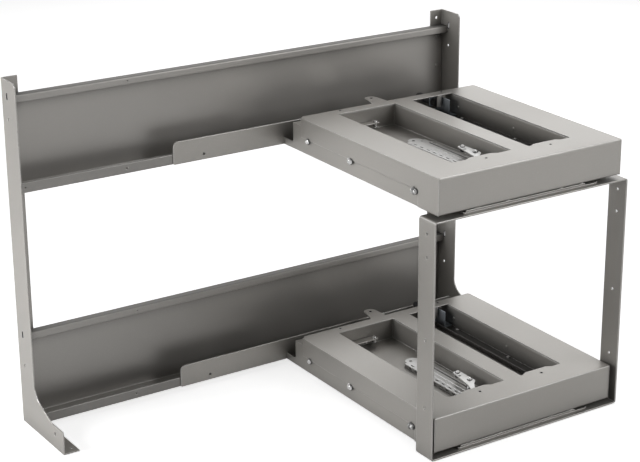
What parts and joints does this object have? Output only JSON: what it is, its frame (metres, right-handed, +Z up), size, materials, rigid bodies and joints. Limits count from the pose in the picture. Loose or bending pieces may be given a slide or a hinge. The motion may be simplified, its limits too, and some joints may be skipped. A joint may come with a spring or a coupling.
{
  "type": "corner cabinet pull-out mechanism",
  "caption": "Pull-out shelf mechanism for a corner base cabinet: a back frame of uprights and rails carries low trays whose decks slide forward behind a front frame.",
  "frame": {"origin": "on the floor, under the middle of the whole object's bounding box", "axes": "+X to the right along the rails, +Y to the cabinet's back, +Z up; the decks pull out along -Y"},
  "size_m": [0.869, 0.511, 0.594],
  "materials": {
    "left_upright": "warm grey powder coat, satin",
    "right_upright": "warm grey powder coat, satin",
    "upper_rail": "warm grey powder coat, satin",
    "lower_rail": "warm grey powder coat, satin",
    "rail_rivets": "zinc plated, satin",
    "upper_arm_plate": "warm grey powder coat, satin",
    "lower_arm_plate": "warm grey powder coat, satin",
    "arm_screws": "zinc plated, satin",
    "upper_tray": "warm grey powder coat, satin",
    "lower_tray": "warm grey powder coat, satin",
    "guide_studs": "zinc plated, satin",
    "upper_left_slide_outer": "zinc plated, satin",
    "upper_right_slide_outer": "zinc plated, satin",
    "lower_left_slide_outer": "zinc plated, satin",
    "lower_right_slide_outer": "zinc plated, satin",
    "slide_rivets": "zinc plated, satin",
    "upper_damper_rail": "warm grey powder coat, satin",
    "lower_damper_rail": "warm grey powder coat, satin",
    "upper_damper_bracket": "blue zinc plated, satin",
    "lower_damper_bracket": "blue zinc plated, satin",
    "tray_screws": "zinc plated, satin",
    "upper_damper_cylinder": "moulded, matt",
    "lower_damper_cylinder": "moulded, matt",
    "upper_catch_strip": "zinc plated, satin",
    "lower_catch_strip": "zinc plated, satin",
    "lever_pivots": "zinc plated, satin",
    "upper_stop_bar": "zinc plated, satin",
    "lower_stop_bar": "zinc plated, satin",
    "upper_deck": "warm grey powder coat, satin",
    "lower_deck": "warm grey powder coat, satin",
    "upper_carriage": "warm grey powder coat, satin",
    "lower_carriage": "warm grey powder coat, satin",
    "front_frame": "warm grey powder coat, satin",
    "clamp_bars": "zinc plated, satin",
    "deck_bolts": "zinc plated, satin",
    "carriage_rivets": "zinc plated, satin",
    "upper_left_slide_inner": "zinc plated, satin",
    "upper_right_slide_inner": "zinc plated, satin",
    "lower_left_slide_inner": "zinc plated, satin",
    "lower_right_slide_inner": "zinc plated, satin",
    "upper_left_slide_middle": "zinc plated, satin",
    "upper_left_outer_cage": "zinc plated, satin",
    "upper_left_inner_cage": "zinc plated, satin",
    "upper_right_slide_middle": "zinc plated, satin",
    "upper_right_outer_cage": "zinc plated, satin",
    "upper_right_inner_cage": "zinc plated, satin",
    "upper_damper_rod": "zinc plated, satin",
    "upper_catch_lever": "zinc plated, satin",
    "upper_lever_roller": "moulded, matt",
    "lower_left_slide_middle": "zinc plated, satin",
    "lower_left_outer_cage": "zinc plated, satin",
    "lower_left_inner_cage": "zinc plated, satin",
    "lower_right_slide_middle": "zinc plated, satin",
    "lower_right_outer_cage": "zinc plated, satin",
    "lower_right_inner_cage": "zinc plated, satin",
    "lower_damper_rod": "zinc plated, satin",
    "lower_catch_lever": "zinc plated, satin",
    "lower_lever_roller": "moulded, matt"
  },
  "bodies": {
    "back_frame": {"left_upright": "left_upright", "right_upright": "right_upright", "upper_rail": "upper_rail", "lower_rail": "lower_rail", "rail_rivets": "rail_rivets", "upper_arm_plate": "upper_arm_plate", "lower_arm_plate": "lower_arm_plate", "arm_screws": "arm_screws", "upper_tray": "upper_tray", "lower_tray": "lower_tray", "guide_studs": "guide_studs", "upper_left_slide_outer": "upper_left_slide_outer", "upper_right_slide_outer": "upper_right_slide_outer", "lower_left_slide_outer": "lower_left_slide_outer", "lower_right_slide_outer": "lower_right_slide_outer", "slide_rivets": "slide_rivets", "upper_damper_rail": "upper_damper_rail", "lower_damper_rail": "lower_damper_rail", "upper_damper_bracket": "upper_damper_bracket", "lower_damper_bracket": "lower_damper_bracket", "tray_screws": "tray_screws", "upper_damper_cylinder": "upper_damper_cylinder", "lower_damper_cylinder": "lower_damper_cylinder", "upper_catch_strip": "upper_catch_strip", "lower_catch_strip": "lower_catch_strip", "lever_pivots": "lever_pivots", "upper_stop_bar": "upper_stop_bar", "lower_stop_bar": "lower_stop_bar"},
    "pull_out": {"upper_deck": "upper_deck", "lower_deck": "lower_deck", "upper_carriage": "upper_carriage", "lower_carriage": "lower_carriage", "front_frame": "front_frame", "clamp_bars": "clamp_bars", "deck_bolts": "deck_bolts", "carriage_rivets": "carriage_rivets", "upper_left_slide_inner": "upper_left_slide_inner", "upper_right_slide_inner": "upper_right_slide_inner", "lower_left_slide_inner": "lower_left_slide_inner", "lower_right_slide_inner": "lower_right_slide_inner"},
    "upper_left_slide_middle": {"upper_left_slide_middle": "upper_left_slide_middle"},
    "upper_left_outer_cage": {"upper_left_outer_cage": "upper_left_outer_cage"},
    "upper_left_inner_cage": {"upper_left_inner_cage": "upper_left_inner_cage"},
    "upper_right_slide_middle": {"upper_right_slide_middle": "upper_right_slide_middle"},
    "upper_right_outer_cage": {"upper_right_outer_cage": "upper_right_outer_cage"},
    "upper_right_inner_cage": {"upper_right_inner_cage": "upper_right_inner_cage"},
    "upper_damper_rod": {"upper_damper_rod": "upper_damper_rod"},
    "upper_catch_lever": {"upper_catch_lever": "upper_catch_lever"},
    "upper_lever_roller": {"upper_lever_roller": "upper_lever_roller"},
    "lower_left_slide_middle": {"lower_left_slide_middle": "lower_left_slide_middle"},
    "lower_left_outer_cage": {"lower_left_outer_cage": "lower_left_outer_cage"},
    "lower_left_inner_cage": {"lower_left_inner_cage": "lower_left_inner_cage"},
    "lower_right_slide_middle": {"lower_right_slide_middle": "lower_right_slide_middle"},
    "lower_right_outer_cage": {"lower_right_outer_cage": "lower_right_outer_cage"},
    "lower_right_inner_cage": {"lower_right_inner_cage": "lower_right_inner_cage"},
    "lower_damper_rod": {"lower_damper_rod": "lower_damper_rod"},
    "lower_catch_lever": {"lower_catch_lever": "lower_catch_lever"},
    "lower_lever_roller": {"lower_lever_roller": "lower_lever_roller"}
  },
  "joints": [
    {"name": "front_pull", "type": "slide", "parent": "back_frame", "child": "pull_out", "axis": [0, -1, 0], "range_m": [0, 0.36]},
    {"name": "upper_left_slide_middle_travel", "type": "slide", "parent": "back_frame", "child": "upper_left_slide_middle", "axis": [0, -1, 0], "range_m": [0, 0.18]},
    {"name": "upper_left_outer_cage_travel", "type": "slide", "parent": "back_frame", "child": "upper_left_outer_cage", "axis": [0, -1, 0], "range_m": [0, 0.09]},
    {"name": "upper_left_inner_cage_travel", "type": "slide", "parent": "back_frame", "child": "upper_left_inner_cage", "axis": [0, -1, 0], "range_m": [0, 0.27]},
    {"name": "upper_right_slide_middle_travel", "type": "slide", "parent": "back_frame", "child": "upper_right_slide_middle", "axis": [0, -1, 0], "range_m": [0, 0.18]},
    {"name": "upper_right_outer_cage_travel", "type": "slide", "parent": "back_frame", "child": "upper_right_outer_cage", "axis": [0, -1, 0], "range_m": [0, 0.09]},
    {"name": "upper_right_inner_cage_travel", "type": "slide", "parent": "back_frame", "child": "upper_right_inner_cage", "axis": [0, -1, 0], "range_m": [0, 0.27]},
    {"name": "upper_damper_stroke", "type": "slide", "parent": "back_frame", "child": "upper_damper_rod", "axis": [0, -1, 0], "range_m": [0, 0.03]},
    {"name": "upper_catch_swing", "type": "hinge", "parent": "back_frame", "child": "upper_catch_lever", "pos_m": [0.21, -0.1335, 0.4596], "axis": [0, 0, 1], "range_deg": [-4, 14]},
    {"name": "upper_roller_spin", "type": "hinge", "parent": "upper_catch_lever", "child": "upper_lever_roller", "pos_m": [0.21, -0.0995, 0.4556], "axis": [0, 0, 1], "continuous": true},
    {"name": "lower_left_slide_middle_travel", "type": "slide", "parent": "back_frame", "child": "lower_left_slide_middle", "axis": [0, -1, 0], "range_m": [0, 0.18]},
    {"name": "lower_left_outer_cage_travel", "type": "slide", "parent": "back_frame", "child": "lower_left_outer_cage", "axis": [0, -1, 0], "range_m": [0, 0.09]},
    {"name": "lower_left_inner_cage_travel", "type": "slide", "parent": "back_frame", "child": "lower_left_inner_cage", "axis": [0, -1, 0], "range_m": [0, 0.27]},
    {"name": "lower_right_slide_middle_travel", "type": "slide", "parent": "back_frame", "child": "lower_right_slide_middle", "axis": [0, -1, 0], "range_m": [0, 0.18]},
    {"name": "lower_right_outer_cage_travel", "type": "slide", "parent": "back_frame", "child": "lower_right_outer_cage", "axis": [0, -1, 0], "range_m": [0, 0.09]},
    {"name": "lower_right_inner_cage_travel", "type": "slide", "parent": "back_frame", "child": "lower_right_inner_cage", "axis": [0, -1, 0], "range_m": [0, 0.27]},
    {"name": "lower_damper_stroke", "type": "slide", "parent": "back_frame", "child": "lower_damper_rod", "axis": [0, -1, 0], "range_m": [0, 0.03]},
    {"name": "lower_catch_swing", "type": "hinge", "parent": "back_frame", "child": "lower_catch_lever", "pos_m": [0.21, -0.1335, 0.0546], "axis": [0, 0, 1], "range_deg": [-4, 14]},
    {"name": "lower_roller_spin", "type": "hinge", "parent": "lower_catch_lever", "child": "lower_lever_roller", "pos_m": [0.21, -0.0995, 0.0506], "axis": [0, 0, 1], "continuous": true}
  ],
  "couplings": [
    {"joint": "upper_left_slide_middle_travel", "follows": "front_pull", "ratio": 0.5},
    {"joint": "upper_left_outer_cage_travel", "follows": "front_pull", "ratio": 0.25},
    {"joint": "upper_left_inner_cage_travel", "follows": "front_pull", "ratio": 0.75},
    {"joint": "upper_right_slide_middle_travel", "follows": "front_pull", "ratio": 0.5},
    {"joint": "upper_right_outer_cage_travel", "follows": "front_pull", "ratio": 0.25},
    {"joint": "upper_right_inner_cage_travel", "follows": "front_pull", "ratio": 0.75},
    {"joint": "upper_damper_stroke", "follows": "front_pull", "ratio": 0.083333},
    {"joint": "lower_left_slide_middle_travel", "follows": "front_pull", "ratio": 0.5},
    {"joint": "lower_left_outer_cage_travel", "follows": "front_pull", "ratio": 0.25},
    {"joint": "lower_left_inner_cage_travel", "follows": "front_pull", "ratio": 0.75},
    {"joint": "lower_right_slide_middle_travel", "follows": "front_pull", "ratio": 0.5},
    {"joint": "lower_right_outer_cage_travel", "follows": "front_pull", "ratio": 0.25},
    {"joint": "lower_right_inner_cage_travel", "follows": "front_pull", "ratio": 0.75},
    {"joint": "lower_damper_stroke", "follows": "front_pull", "ratio": 0.083333}
  ]
}
